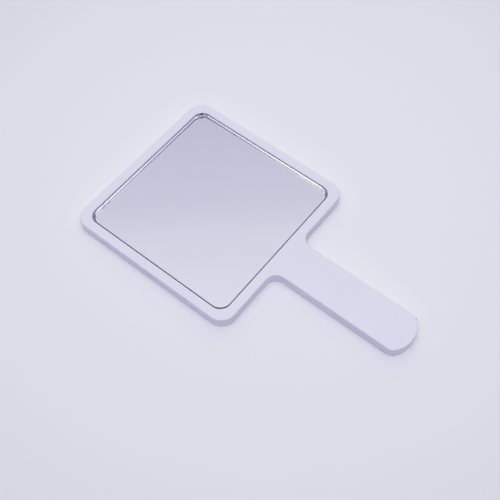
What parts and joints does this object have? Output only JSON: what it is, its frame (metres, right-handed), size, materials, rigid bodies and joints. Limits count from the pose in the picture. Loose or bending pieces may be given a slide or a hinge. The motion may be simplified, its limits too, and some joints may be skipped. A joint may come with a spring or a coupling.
{
  "type": "square hand mirror",
  "caption": "Square hand mirror: one-piece white plastic frame and short handle, with a silvered glass pane set in a shallow recess.",
  "frame": {"origin": "middle of the underside: the centre of the bounding box in X and Y, on the plane the mirror lies on", "axes": "+Y along the length, from the handle towards the head; +Z out of the mirror's face; +X completes the right-handed frame, and the object is symmetric about the plane X = 0"},
  "size_m": [0.085, 0.1476, 0.0054],
  "materials": {
    "body_plastic": "satin white with a faint lavender cast",
    "clear_glass": "clear float glass, edges cut and lightly arrised",
    "silver": "mirror silver, seen through the glass",
    "back_paint": "matt violet-grey protective paint",
    "foam_tape": "white closed-cell foam with adhesive on both faces"
  },
  "bodies": {
    "root": {"frame_and_handle": "body_plastic", "mirror_glass": "clear_glass", "silver_coating": "silver", "backing_paint": "back_paint", "foam_tape_1": "foam_tape", "foam_tape_2": "foam_tape", "foam_tape_3": "foam_tape", "foam_tape_4": "foam_tape"}
  },
  "joints": []
}
